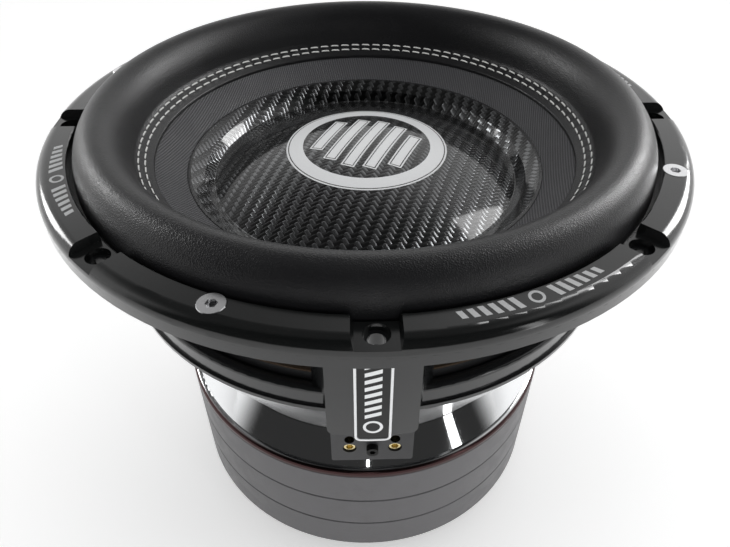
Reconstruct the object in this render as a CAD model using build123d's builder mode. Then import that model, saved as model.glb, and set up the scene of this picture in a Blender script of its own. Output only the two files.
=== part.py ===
from build123d import *
from math import cos, pi, radians, sin, sqrt, tan
import os

# Car subwoofer driver, twelve inch class, standing on its back plate with the cone facing up.
# Millimetres, +Z up, origin at the centre of the back plate's lower face.
# The front of the driver, where the marked spoke and one terminal block sit, faces -Y.

# ---- driving dimensions --------------------------------------------------------------------
# motor
YOKE_R = 104.0
BACK_T = 12.0
POLE_R = 48.9
VENT_R = 19.0
SCREEN_R = 24.0
MAGNET_R = 112.5
MAGNET_BORE_R = 62.0
MAGNET_T = 25.0
MAGNET_COUNT = 3
EDGE_BREAK = 0.8
PLATE_BASE_Z = BACK_T + MAGNET_COUNT * MAGNET_T
PLATE_RIM_R = 108.9
PLATE_RIM_Z = PLATE_BASE_Z + 4.4
PLATE_TOP_R = 97.8
PLATE_TOP_Z = PLATE_BASE_Z + 20.4
PLATE_BORE_R = 54.5
BASE_BOLT_CIRCLE_R = 80.0
BASE_BOLT_ANGLE = 22.5
TAPPED_R = 3.0
SHORTING_RING_R = 58.0
SHORTING_RING_T = 18.0
# basket
BASE_T = 6.0
BOWL_BASE_R = 97.3
BOWL_WALL = 4.7
LANDING_R = 131.4
LANDING_Z = 169.2
SILL_Z = 171.3
WALL_R = 130.2
LIP_Z = 181.2
LIP_INNER_R = 124.2
SEAT_Z = 176.7
SEAT_INNER_R = 113.0
SPOKE_COUNT = 4
SPOKE_R = 131.5
SPOKE_HALF = 20.3
SPOKE_FLARE = 0.67
SPOKE_FOOT_Z = 152.8
FOOT_CORNER_R = 3.5
WEB_SHIFT = 13.0
WEB_HALF_T = 2.2
WEB_LOW_Z = 206.0
WEB_OUTER_R = 149.0
FLANGE_Z = 229.3
FLANGE_T = 5.5
FRAME_R = 158.0
# trim ring and fixings
RING_Z = FLANGE_Z + FLANGE_T
RING_T = 7.0
RING_INNER_R = 143.7
SHOULDER = 5.9
BOLT_CIRCLE_R = 149.5
BOLT_COUNT = 8
BOLT_HOLE_R = 3.3
RING_HOLE_R = 5.0
POCKET_DEPTH = 3.8
POCKET_FLOOR_HALF = 7.8
POCKET_TOP_HALF = 9.0
RING_SCREW_COUNT = 4
RING_SCREW_ANGLE = -22.5
RING_SCREW_CIRCLE_R = 148.4
RING_SCREW_END_Z = FLANGE_Z + 1.4
# moving parts
CONE_SLOPE = 0.59
CAP_EDGE_R = 91.1
CAP_SEAT_Z = 217.3
CAP_T = 1.2
CONE_T = 2.3
CONE_EDGE_R = 118.6
FORMER_R = 50.5
FORMER_WALL = 0.5
FORMER_Z = (66.0, 193.0)
COIL_Z = (72.0, 122.0)
COIL_LAYER_T = 1.2
ROLL_R = 128.8
ROLL_HALF = 13.0
ROLL_H = 19.6
ROLL_T = 2.1
ROLL_BASE_Z = RING_Z + 0.4
ROLL_FOOT_R = 145.2
ROLL_FOOT_T = 2.0
SEAM_INNER_R = 107.0
SEAM_T = 1.74
STITCH_RADII = (110.7, 113.6)
SPIDER_T = 1.0
SPIDER_RIM_R = 123.6
SPACER_T = 7.0
# terminals
PAD_R = 121.5
PAD_HALF = 19.4
BLOCK_HALF = 19.0
BLOCK_DEPTH = 7.4
BLOCK_Z = (130.0, 152.7)
CONTACT_X = 10.5
CONTACT_Z = 139.6
CONTACT_R = 4.2
CONTACT_LEN = 5.8
SET_SCREW_R = 2.95
SET_SCREW_LEN = 4.2
PORT_R = 2.3
PORT_RISE = 0.7
LEAD_R = 0.9
TAB_Z = 207.0
TAB_R = 122.4
TAB_T = 0.9
RIVET_Z = TAB_Z + 2
RIVET_R = 1.2
# badges
BADGE_Z = (151.0, FLANGE_Z - 5)
BADGE_HALF = 8.2
BADGE_T = 1.4
BADGE_RIM = 1.1

FRONT = Plane(origin=(0, 0, 0), x_dir=(1, 0, 0), z_dir=(0, -1, 0))
REAR = Plane(origin=(0, 0, 0), x_dir=(-1, 0, 0), z_dir=(0, 1, 0))

os.makedirs("parts", exist_ok=True)


def save(piece, name):
    """Label a finished piece and write it to the parts folder."""
    piece.part.label = name
    export_step(piece.part, f"parts/{name}.step")


def turned(*points):
    """A body of revolution about Z from a closed outline of (radius, height) points."""
    with BuildPart() as piece:
        with BuildSketch(Plane.XZ):
            with BuildLine():
                Polyline(*points, close=True)
            make_face()
        revolve(axis=Axis.Z)
    return piece


def tube(inner, outer, low, high, edge=0.0):
    """A plain ring about Z, with its two outer edges broken by a small chamfer."""
    return turned(
        (inner, low), (outer - edge, low), (outer, low + edge),
        (outer, high - edge), (outer - edge, high), (inner, high),
    ) if edge else turned((inner, low), (outer, low), (outer, high), (inner, high))


def cone_z(radius):
    """Height of the cone's upper face on its straight outer part."""
    return CAP_SEAT_Z + CONE_SLOPE * (radius - CAP_EDGE_R)


def bowl_r(height):
    """Radius of the bowl's outer face at a height."""
    share = (height - PLATE_TOP_Z) / (LANDING_Z - PLATE_TOP_Z)
    return BOWL_BASE_R + share * (LANDING_R - BOWL_BASE_R)


def radial_plane(angle, shift=0.0):
    """Plane through the axis at an angle: local x runs outwards, local y runs up."""
    out = Vector(cos(radians(angle)), sin(radians(angle)), 0)
    along = Vector(-sin(radians(angle)), cos(radians(angle)), 0)
    return Plane(origin=along * shift, x_dir=out, z_dir=-along)


def facing_plane(angle, radius=0.0):
    """Plane square to a radius: local x runs along the rim, local y runs up, normal outwards."""
    out = Vector(cos(radians(angle)), sin(radians(angle)), 0)
    along = Vector(-sin(radians(angle)), cos(radians(angle)), 0)
    return Plane(origin=out * radius, x_dir=along, z_dir=out)


# ---- motor ---------------------------------------------------------------------------------
# yoke: back plate and vented pole in one steel forging
with BuildPart() as yoke:
    with BuildSketch(Plane.XZ):
        with BuildLine():
            Polyline(
                (VENT_R + 5, 0), (YOKE_R - 3, 0), (YOKE_R, 3), (YOKE_R, BACK_T - 0.6),
                (YOKE_R - 0.6, BACK_T), (POLE_R, BACK_T), (POLE_R, PLATE_TOP_Z - 1),
                (POLE_R - 1, PLATE_TOP_Z), (VENT_R + 4, PLATE_TOP_Z), (VENT_R, PLATE_TOP_Z - 6),
                (VENT_R, 6), (VENT_R + 5, 2), close=True,
            )
        make_face()
    revolve(axis=Axis.Z)
save(yoke, "yoke")

# perforated steel screen across the foot of the pole vent
with BuildPart() as vent_screen:
    with BuildSketch(Plane.XY.offset(0.6)):
        Circle(SCREEN_R - 0.05)
        with HexLocations(2.6, 7, 7):
            Circle(1.7, mode=Mode.SUBTRACT)
        Circle(SCREEN_R - 0.05, mode=Mode.INTERSECT)
    extrude(amount=1.2)
save(vent_screen, "vent_screen")

for index, name in enumerate(("magnet_lower", "magnet_middle", "magnet_upper")):
    low = BACK_T + index * MAGNET_T
    save(tube(MAGNET_BORE_R, MAGNET_R, low, low + MAGNET_T, EDGE_BREAK), name)

save(tube(POLE_R + 0.05, SHORTING_RING_R, BACK_T, BACK_T + SHORTING_RING_T), "shorting_ring")

# top plate: thick polished washer whose upper edge is a steep bevel over a short rounded rim
with BuildPart() as top_plate:
    with BuildSketch(Plane.XZ):
        with BuildLine():
            Polyline(
                (PLATE_RIM_R, PLATE_RIM_Z), (PLATE_TOP_R, PLATE_TOP_Z), (PLATE_BORE_R, PLATE_TOP_Z),
                (PLATE_BORE_R, PLATE_BASE_Z), (MAGNET_R, PLATE_BASE_Z), (MAGNET_R, PLATE_BASE_Z + 1),
            )
            ThreePointArc(
                (MAGNET_R, PLATE_BASE_Z + 1),
                ((MAGNET_R + PLATE_RIM_R) / 2 + 0.9, (PLATE_BASE_Z + 1 + PLATE_RIM_Z) / 2 + 0.9),
                (PLATE_RIM_R, PLATE_RIM_Z),
            )
        make_face()
    revolve(axis=Axis.Z)
    with BuildSketch(Plane.XY.offset(PLATE_TOP_Z)):
        with PolarLocations(BASE_BOLT_CIRCLE_R, BOLT_COUNT, start_angle=BASE_BOLT_ANGLE):
            Circle(TAPPED_R)
    extrude(amount=-11, mode=Mode.SUBTRACT)
save(top_plate, "top_plate")

# socket-head screws that hold the basket down on the top plate
with BuildPart() as basket_bolts:
    with PolarLocations(BASE_BOLT_CIRCLE_R, BOLT_COUNT, start_angle=BASE_BOLT_ANGLE):
        with Locations((0, 0, PLATE_TOP_Z + BASE_T)):
            Cylinder(5.0, 6.0, align=(Align.CENTER, Align.CENTER, Align.MIN))
            Cylinder(2.95, 16.0, align=(Align.CENTER, Align.CENTER, Align.MAX))
    with BuildSketch(Plane.XY.offset(PLATE_TOP_Z + BASE_T + 6)):
        with PolarLocations(BASE_BOLT_CIRCLE_R, BOLT_COUNT, start_angle=BASE_BOLT_ANGLE):
            RegularPolygon(2.9, 6)
    extrude(amount=-3, mode=Mode.SUBTRACT)
save(basket_bolts, "basket_bolts")

# ---- basket --------------------------------------------------------------------------------
SPOKE_IN_R = LIP_INNER_R
SPOKE_CORNER_Y = sqrt(SPOKE_R**2 - SPOKE_HALF**2)


def spoke_half(radius):
    """Half width of a spoke's section, which widens inwards from the outer face."""
    return SPOKE_HALF + SPOKE_FLARE * (SPOKE_CORNER_Y - radius)


with BuildPart() as basket:
    # round-cornered spoke feet, then the flared spokes above them
    for spoke in range(SPOKE_COUNT):
        with BuildSketch(facing_plane(90 * spoke, PAD_R - 7)):
            with Locations((0, (SPOKE_FOOT_Z + LANDING_Z + 1) / 2)):
                Rectangle(2 * SPOKE_HALF, LANDING_Z + 1 - SPOKE_FOOT_Z)
            fillet(vertices().group_by(Axis.Y)[0], FOOT_CORNER_R)
        extrude(amount=SPOKE_R - PAD_R + 9)
    with BuildSketch(Plane.XY.offset(LANDING_Z)):
        with PolarLocations(0, SPOKE_COUNT):
            Polygon(
                (SPOKE_IN_R - 6, -spoke_half(SPOKE_IN_R - 6)), (SPOKE_R + 2, -spoke_half(SPOKE_R + 2)),
                (SPOKE_R + 2, spoke_half(SPOKE_R + 2)), (SPOKE_IN_R - 6, spoke_half(SPOKE_IN_R - 6)),
                align=None,
            )
    extrude(amount=FLANGE_Z + 1 - LANDING_Z)
    with BuildSketch(Plane.XY.offset(SPOKE_FOOT_Z - 1)):
        Circle(SPOKE_R)
    extrude(amount=FLANGE_Z - SPOKE_FOOT_Z + 3, mode=Mode.INTERSECT)
    # flat pads for the two terminal blocks
    for side in (FRONT, REAR):
        with BuildSketch(side):
            with Locations((0, (BLOCK_Z[0] - 1 + SPOKE_FOOT_Z) / 2)):
                Rectangle(2 * PAD_HALF, SPOKE_FOOT_Z - BLOCK_Z[0] + 1)
        extrude(amount=PAD_R)
    # clear the pads and feet out of the bowl, then add the turned bowl and landing wall
    with BuildSketch(Plane.XZ):
        with BuildLine():
            Polyline(
                (0, PLATE_TOP_Z), (bowl_r(PLATE_TOP_Z) - BOWL_WALL, PLATE_TOP_Z),
                (bowl_r(165) - BOWL_WALL, 165), (SEAT_INNER_R, LANDING_Z + 2), (SEAT_INNER_R, SEAT_Z),
                (SPOKE_IN_R, SEAT_Z), (SPOKE_IN_R, FLANGE_Z + 2), (0, FLANGE_Z + 2), close=True,
            )
        make_face()
    revolve(axis=Axis.Z, mode=Mode.SUBTRACT)
    with BuildSketch(Plane.XZ):
        with BuildLine():
            Polyline(
                (MAGNET_BORE_R, PLATE_TOP_Z), (BOWL_BASE_R, PLATE_TOP_Z), (LANDING_R, LANDING_Z),
                (LANDING_R, SILL_Z), (WALL_R, SILL_Z + 0.4), (WALL_R, LIP_Z), (LIP_INNER_R, LIP_Z),
                (LIP_INNER_R, SEAT_Z), (SEAT_INNER_R, SEAT_Z), (SEAT_INNER_R, LANDING_Z + 2),
                (bowl_r(165) - BOWL_WALL, 165),
                (bowl_r(PLATE_TOP_Z + BASE_T) - BOWL_WALL, PLATE_TOP_Z + BASE_T),
                (MAGNET_BORE_R, PLATE_TOP_Z + BASE_T), close=True,
            )
        make_face()
        fillet(vertices().group_by(Axis.Y)[-1], 1.9)
    revolve(axis=Axis.Z)
    # the pads' faces are flat right across the bowl
    for side in (FRONT, REAR):
        with BuildSketch(side.offset(PAD_R)):
            with Locations((0, (BLOCK_Z[0] - 1 + SPOKE_FOOT_Z) / 2)):
                Rectangle(2 * PAD_HALF, SPOKE_FOOT_Z - BLOCK_Z[0] + 1)
        extrude(amount=6, mode=Mode.SUBTRACT)
    # mounting flange with a shallow seat for the surround's foot
    with BuildSketch(Plane.XZ):
        with BuildLine():
            Polyline(
                (SPOKE_IN_R, FLANGE_Z), (FRAME_R - 0.8, FLANGE_Z), (FRAME_R, FLANGE_Z + 0.8),
                (FRAME_R, RING_Z),
                (ROLL_FOOT_R + 0.1, RING_Z), (ROLL_FOOT_R + 0.1, RING_Z - ROLL_FOOT_T),
                (SPOKE_IN_R, RING_Z - ROLL_FOOT_T), close=True,
            )
        make_face()
    revolve(axis=Axis.Z)
    # two webs behind each spoke's head, under the flange
    for spoke in range(SPOKE_COUNT):
        for shift in (-WEB_SHIFT, WEB_SHIFT):
            with BuildSketch(radial_plane(90 * spoke, shift)):
                Polygon(
                    (SPOKE_R - 4, WEB_LOW_Z), (SPOKE_R - 0.5, WEB_LOW_Z),
                    (WEB_OUTER_R, FLANGE_Z + 1), (SPOKE_R - 4, FLANGE_Z + 1), align=None,
                )
            extrude(amount=WEB_HALF_T, both=True)
    # mounting holes, trim ring screw holes and base screw holes
    with BuildSketch(Plane.XY.offset(FLANGE_Z - 1)):
        with PolarLocations(BOLT_CIRCLE_R, BOLT_COUNT):
            Circle(BOLT_HOLE_R)
    extrude(amount=FLANGE_T + 2, mode=Mode.SUBTRACT)
    with BuildSketch(Plane.XY.offset(RING_SCREW_END_Z - 0.3)):
        with PolarLocations(RING_SCREW_CIRCLE_R, RING_SCREW_COUNT, start_angle=RING_SCREW_ANGLE):
            Circle(TAPPED_R)
    extrude(amount=FLANGE_T, mode=Mode.SUBTRACT)
    with BuildSketch(Plane.XY.offset(PLATE_TOP_Z - 1)):
        with PolarLocations(BASE_BOLT_CIRCLE_R, BOLT_COUNT, start_angle=BASE_BOLT_ANGLE):
            Circle(TAPPED_R)
    extrude(amount=BASE_T + 2, mode=Mode.SUBTRACT)
    # threaded holes for the terminal screws, and rivet holes for the lead tabs
    for side in (FRONT, REAR):
        with BuildSketch(side.offset(PAD_R + 1)):
            with Locations((0, CONTACT_Z + 0.6)):
                Circle(1.5)
        extrude(amount=-9, mode=Mode.SUBTRACT)
        with BuildSketch(side.offset(SPOKE_IN_R - 3)):
            with Locations((-CONTACT_X, RIVET_Z), (CONTACT_X, RIVET_Z)):
                Circle(RIVET_R + 0.05)
        extrude(amount=6, mode=Mode.SUBTRACT)
save(basket, "basket")

# ---- trim ring -----------------------------------------------------------------------------
with BuildPart() as trim_ring:
    with BuildSketch(Plane.XZ):
        with BuildLine():
            Polyline(
                (RING_INNER_R, RING_Z), (FRAME_R, RING_Z), (FRAME_R, RING_Z + RING_T),
                (RING_INNER_R, RING_Z + RING_T), close=True,
            )
        make_face()
        fillet(vertices().group_by(Axis.Y)[-1].sort_by(Axis.X)[-1], SHOULDER)
        fillet(vertices().group_by(Axis.Y)[-1].sort_by(Axis.X)[0], 0.6)
    revolve(axis=Axis.Z)
    # a pocket across the ring at each mounting hole
    for step in range(BOLT_COUNT):
        with BuildSketch(facing_plane(360 / BOLT_COUNT * step, RING_INNER_R - 3)):
            Polygon(
                (-POCKET_FLOOR_HALF, RING_Z + RING_T - POCKET_DEPTH),
                (POCKET_FLOOR_HALF, RING_Z + RING_T - POCKET_DEPTH),
                (POCKET_TOP_HALF, RING_Z + RING_T + 0.2), (-POCKET_TOP_HALF, RING_Z + RING_T + 0.2),
                align=None,
            )
        extrude(amount=FRAME_R - RING_INNER_R + 6, mode=Mode.SUBTRACT)
    with BuildSketch(Plane.XY.offset(RING_Z - 1)):
        with PolarLocations(BOLT_CIRCLE_R, BOLT_COUNT):
            Circle(RING_HOLE_R)
    extrude(amount=RING_T, mode=Mode.SUBTRACT)
    with PolarLocations(RING_SCREW_CIRCLE_R, RING_SCREW_COUNT, start_angle=RING_SCREW_ANGLE):
        with Locations((0, 0, RING_Z + RING_T)):
            CounterSinkHole(3.2, 5.6, counter_sink_angle=90)
save(trim_ring, "trim_ring")

# four countersunk socket screws, midway between mounting holes
with BuildPart() as trim_ring_screws:
    HEAD_Z = RING_Z + RING_T + 0.15
    with BuildSketch(Plane.XZ):
        with BuildLine():
            Polyline(
                (0, HEAD_Z), (5.2, HEAD_Z), (5.4, HEAD_Z - 0.2), (5.4, HEAD_Z - 0.3), (2.95, HEAD_Z - 2.75),
                (2.95, RING_SCREW_END_Z + 0.5), (2.45, RING_SCREW_END_Z), (0, RING_SCREW_END_Z), close=True,
            )
        make_face()
    revolve(axis=Axis.Z)
    with BuildSketch(Plane.XY.offset(HEAD_Z)):
        RegularPolygon(2.35, 6)
    extrude(amount=-2.2, mode=Mode.SUBTRACT)
ring_screw = trim_ring_screws.part
with BuildPart() as trim_ring_screws:
    with PolarLocations(RING_SCREW_CIRCLE_R, RING_SCREW_COUNT, start_angle=RING_SCREW_ANGLE):
        add(ring_screw)
save(trim_ring_screws, "trim_ring_screws")

# ---- moving parts --------------------------------------------------------------------------
# pressed cone: straight outer part, a step below the dust cap's edge, then the neck
CONE_LINE = ((CONE_EDGE_R, cone_z(CONE_EDGE_R)), (89.5, cone_z(89.5)), (79.0, 206.0), (54.0, 191.0))
with BuildPart() as cone:
    with BuildSketch(Plane.XZ):
        with BuildLine():
            Polyline(
                *CONE_LINE, (FORMER_R + 0.02, 191.0), (FORMER_R + 0.02, 187.5), (54.6, 188.6),
                (79.6, 206.0 - CONE_T), (90.1, cone_z(90.1) - CONE_T),
                (CONE_EDGE_R, cone_z(CONE_EDGE_R) - CONE_T),
                close=True,
            )
        make_face()
    revolve(axis=Axis.Z)
save(cone, "cone")

# dust cap: sloping rim, a step down to a groove, then a wide shallow dome
GROOVE_R = 80.3
GROOVE_Z = 209.4
DOME_Z = 224.0
DOME_RISE = DOME_Z - GROOVE_Z
DOME_SPHERE_R = (GROOVE_R**2 + DOME_RISE**2) / (2 * DOME_RISE)


def dome_z(radius, drop=0.0):
    """Height of the dome at a radius, lowered by drop."""
    return DOME_Z - drop - DOME_SPHERE_R + sqrt(DOME_SPHERE_R**2 - radius**2)


with BuildPart() as dust_cap:
    with BuildSketch(Plane.XZ):
        with BuildLine():
            Polyline(
                (GROOVE_R - 0.8, dome_z(GROOVE_R - 0.8)), (GROOVE_R, GROOVE_Z), (84.4, 214.5),
                (CAP_EDGE_R, CAP_SEAT_Z + CAP_T), (CAP_EDGE_R, CAP_SEAT_Z + 0.02),
                (85.2, cone_z(85.2) + 0.02),
                (81.2, GROOVE_Z - CAP_T), (GROOVE_R - 1.2, dome_z(GROOVE_R - 1.2, CAP_T)),
            )
            ThreePointArc(
                (GROOVE_R - 1.2, dome_z(GROOVE_R - 1.2, CAP_T)), (40, dome_z(40, CAP_T)), (0, DOME_Z - CAP_T),
            )
            Line((0, DOME_Z - CAP_T), (0, DOME_Z))
            ThreePointArc((0, DOME_Z), (40, dome_z(40)), (GROOVE_R - 0.8, dome_z(GROOVE_R - 0.8)))
        make_face()
    revolve(axis=Axis.Z)
save(dust_cap, "dust_cap")

# glue bead around the dust cap's edge
save(
    turned(
        (CAP_EDGE_R + 0.03, cone_z(CAP_EDGE_R) + 0.05), (92.7, cone_z(92.7) + 0.02),
        (92.4, cone_z(92.4) + 0.45),
        (91.7, cone_z(91.7) + 0.85), (CAP_EDGE_R + 0.03, CAP_SEAT_Z + 1.0),
    ),
    "cap_bead",
)

# surround: tall half roll, clamped outer foot, sloping inner seam on the cone
with BuildPart() as surround:
    with BuildSketch(Plane.XZ):
        with BuildLine():
            Polyline(
                (ROLL_R - ROLL_HALF + ROLL_T, ROLL_BASE_Z),
                (ROLL_R - ROLL_HALF + ROLL_T, cone_z(ROLL_R - ROLL_HALF + ROLL_T) + 0.02),
                (SEAM_INNER_R, cone_z(SEAM_INNER_R) + 0.02), (SEAM_INNER_R, cone_z(SEAM_INNER_R) + SEAM_T),
                (ROLL_R - ROLL_HALF - 0.6, cone_z(ROLL_R - ROLL_HALF - 0.6) + SEAM_T),
                (ROLL_R - ROLL_HALF, ROLL_BASE_Z),
            )
            EllipticalCenterArc(
                (ROLL_R, ROLL_BASE_Z), ROLL_HALF, ROLL_H, start_angle=0, arc_size=180,
            )
            Polyline(
                (ROLL_R + ROLL_HALF, ROLL_BASE_Z), (ROLL_R + ROLL_HALF, RING_Z - 0.02),
                (ROLL_FOOT_R, RING_Z - 0.02), (ROLL_FOOT_R, RING_Z - ROLL_FOOT_T),
                (ROLL_R + ROLL_HALF - ROLL_T, RING_Z - ROLL_FOOT_T),
                (ROLL_R + ROLL_HALF - ROLL_T, ROLL_BASE_Z),
            )
            EllipticalCenterArc(
                (ROLL_R, ROLL_BASE_Z), ROLL_HALF - ROLL_T, ROLL_H - ROLL_T, start_angle=0, arc_size=180,
            )
        make_face()
    revolve(axis=Axis.Z)
save(surround, "surround")

# the two rows of sewing thread that hold the surround's seam, each as a slim flat ring
with BuildPart() as stitch_thread:
    for radius in STITCH_RADII:
        with BuildSketch(Plane.XZ):
            with BuildLine():
                Polyline(
                    (radius - 0.45, cone_z(radius - 0.45) + SEAM_T + 0.03),
                    (radius + 0.45, cone_z(radius + 0.45) + SEAM_T + 0.03),
                    (radius + 0.35, cone_z(radius + 0.35) + SEAM_T + 0.5),
                    (radius - 0.45, cone_z(radius - 0.45) + SEAM_T + 0.5), close=True,
                )
            make_face()
        revolve(axis=Axis.Z)
save(stitch_thread, "stitch_thread")

save(tube(FORMER_R - FORMER_WALL, FORMER_R, *FORMER_Z), "coil_former")
save(tube(FORMER_R + 0.01, FORMER_R + COIL_LAYER_T, *COIL_Z), "coil_inner")
save(tube(FORMER_R + COIL_LAYER_T + 0.01, FORMER_R + 2 * COIL_LAYER_T, *COIL_Z), "coil_outer")

# two centring spiders with a spacer ring between their rims
save(tube(FORMER_R + 0.1, SPIDER_RIM_R, SEAT_Z + 0.02, SEAT_Z + SPIDER_T), "spider_lower")
save(tube(SEAT_INNER_R, SPIDER_RIM_R, SEAT_Z + SPIDER_T, SEAT_Z + SPIDER_T + SPACER_T), "spider_spacer")
UPPER_Z = SEAT_Z + SPIDER_T + SPACER_T
save(tube(FORMER_R + 0.1, SPIDER_RIM_R, UPPER_Z + 0.02, UPPER_Z + SPIDER_T), "spider_upper")

# ---- terminals -----------------------------------------------------------------------------
for end, side in (("front", FRONT), ("rear", REAR)):
    port_planes = [
        Plane(
            origin=side.from_local_coords(Vector(x, CONTACT_Z + 2, PAD_R + 0.6)),
            x_dir=side.x_dir, z_dir=side.z_dir + side.y_dir * PORT_RISE,
        )
        for x in (-CONTACT_X, CONTACT_X)
    ]
    with BuildPart() as terminal_block:
        with BuildSketch(side.offset(PAD_R)):
            with Locations((0, sum(BLOCK_Z) / 2)):
                Rectangle(2 * BLOCK_HALF, BLOCK_Z[1] - BLOCK_Z[0])
            chamfer(vertices().group_by(Axis.Y)[0], 0.8)
        extrude(amount=BLOCK_DEPTH)
        with BuildSketch(side.offset(PAD_R)):
            with Locations((-CONTACT_X, CONTACT_Z), (CONTACT_X, CONTACT_Z)):
                Circle(CONTACT_R + 0.03)
        extrude(amount=CONTACT_LEN + 0.05, mode=Mode.SUBTRACT)
        with BuildSketch(side.offset(PAD_R)):
            with Locations((-CONTACT_X, CONTACT_Z), (CONTACT_X, CONTACT_Z)):
                Circle(SET_SCREW_R + 0.25)
            with Locations((0, CONTACT_Z + 0.6)):
                Circle(1.6)
        extrude(amount=BLOCK_DEPTH, mode=Mode.SUBTRACT)
        for port in port_planes:
            with BuildSketch(port):
                Circle(PORT_R)
            extrude(amount=18, mode=Mode.SUBTRACT)
    save(terminal_block, f"terminal_block_{end}")

    with BuildPart() as contacts:
        with BuildSketch(side.offset(PAD_R)):
            with Locations((-CONTACT_X, CONTACT_Z), (CONTACT_X, CONTACT_Z)):
                Circle(CONTACT_R)
        extrude(amount=CONTACT_LEN)
        with BuildSketch(side.offset(PAD_R + 1)):
            with Locations((-CONTACT_X, CONTACT_Z), (CONTACT_X, CONTACT_Z)):
                Circle(SET_SCREW_R + 0.05)
        extrude(amount=CONTACT_LEN, mode=Mode.SUBTRACT)
        for port in port_planes:
            with BuildSketch(port):
                Circle(PORT_R)
            extrude(amount=18, mode=Mode.SUBTRACT)
    save(contacts, f"contacts_{end}")

    for x, name in ((-CONTACT_X, f"set_screw_{end}_a"), (CONTACT_X, f"set_screw_{end}_b")):
        with BuildPart() as set_screw:
            with BuildSketch(side.offset(PAD_R + BLOCK_DEPTH - 0.8)):
                with Locations((x, CONTACT_Z)):
                    Circle(SET_SCREW_R)
            extrude(amount=-SET_SCREW_LEN)
            chamfer(set_screw.edges().filter_by(GeomType.CIRCLE), 0.35)
            with BuildSketch(side.offset(PAD_R + BLOCK_DEPTH - 0.8)):
                with Locations((x, CONTACT_Z)):
                    RegularPolygon(1.85, 6)
            extrude(amount=-2.6, mode=Mode.SUBTRACT)
        save(set_screw, name)

# the black cap screw through the middle of each block
with BuildPart() as terminal_screws:
    for side in (FRONT, REAR):
        with BuildSketch(side.offset(PAD_R + BLOCK_DEPTH)):
            with Locations((0, CONTACT_Z + 0.6)):
                Circle(2.75)
        extrude(amount=3.0)
        with BuildSketch(side.offset(PAD_R + BLOCK_DEPTH)):
            with Locations((0, CONTACT_Z + 0.6)):
                Circle(1.45)
        extrude(amount=-BLOCK_DEPTH - 6)
        with BuildSketch(side.offset(PAD_R + BLOCK_DEPTH + 3)):
            with Locations((0, CONTACT_Z + 0.6)):
                RegularPolygon(1.45, 6)
        extrude(amount=-1.6, mode=Mode.SUBTRACT)
save(terminal_screws, "terminal_screws")

# brass solder tabs riveted inside the front and rear spokes
with BuildPart() as lead_tabs:
    for side in (FRONT, REAR):
        with BuildSketch(side.offset(TAB_R)):
            with Locations((-CONTACT_X, TAB_Z), (CONTACT_X, TAB_Z)):
                Rectangle(6, 12)
        extrude(amount=TAB_T)
        with BuildSketch(side.offset(TAB_R - 0.8)):
            with Locations((-CONTACT_X, RIVET_Z), (CONTACT_X, RIVET_Z)):
                Circle(RIVET_R)
        extrude(amount=5)
save(lead_tabs, "lead_tabs")

# woven lead wires from the tabs to the cone's underside: (outward distance, height) route points
LEAD_ROUTE = (
    (TAB_R - 0.1, TAB_Z - 4), (114.0, 201.5), (109.0, 193.5), (101.5, 190.4), (94.5, 194.5),
    (91.5, 204.0), (91.2, 213.2),
)


def lead_radii(points):
    """Corner radii as large as the two runs at each corner allow."""
    radii = []
    for before, here, after in zip(points, points[1:], points[2:]):
        first, second = here - before, after - here
        turn = radians(first.get_angle(second))
        radii.append(0.45 * min(first.length, second.length) / tan(turn / 2))
    return radii


for end, side in (("front", FRONT), ("rear", REAR)):
    for x, hand in ((-CONTACT_X, "a"), (CONTACT_X, "b")):
        route = [side.from_local_coords(Vector(x, height, out)) for out, height in LEAD_ROUTE]
        radii = lead_radii(route)
        with BuildPart() as lead:
            with BuildLine() as path:
                FilletPolyline(*route, radius=radii)
            with BuildSketch(Plane(origin=path.line @ 0, z_dir=path.line % 0)):
                Circle(LEAD_R)
            sweep()
        length = path.wires()[0].length
        expected = pi * LEAD_R**2 * length
        print(f"lead {end} {hand}: length {length:.1f}", [round(r, 1) for r in radii],
              f"volume share {lead.part.volume / expected:.3f}")
        save(lead, f"lead_{end}_{hand}")

# ---- spoke badges --------------------------------------------------------------------------
for end, side in (("front", FRONT), ("rear", REAR)):
    with BuildPart() as badge_field:
        with BuildSketch(side.offset(SPOKE_R - 5)):
            with Locations((0, sum(BADGE_Z) / 2)):
                RectangleRounded(2 * (BADGE_HALF - BADGE_RIM), BADGE_Z[1] - BADGE_Z[0] - 2 * BADGE_RIM, 1.8)
        extrude(amount=12)
        with BuildSketch(Plane.XY.offset(BADGE_Z[0] - 5)):
            Circle(SPOKE_R + BADGE_T + 3)
            Circle(SPOKE_R + BADGE_T - 0.35, mode=Mode.SUBTRACT)
        extrude(amount=100, mode=Mode.INTERSECT)
    with BuildPart() as badge:
        with BuildSketch(side.offset(SPOKE_R - 5)):
            with Locations((0, sum(BADGE_Z) / 2)):
                RectangleRounded(2 * BADGE_HALF, BADGE_Z[1] - BADGE_Z[0], 2.8)
        extrude(amount=12)
        with BuildSketch(Plane.XY.offset(BADGE_Z[0] - 5)):
            Circle(SPOKE_R + BADGE_T)
            Circle(SPOKE_R + 0.01, mode=Mode.SUBTRACT)
        extrude(amount=100, mode=Mode.INTERSECT)
        add(badge_field.part, mode=Mode.SUBTRACT)
    save(badge, f"badge_{end}")
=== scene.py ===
import math

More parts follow.
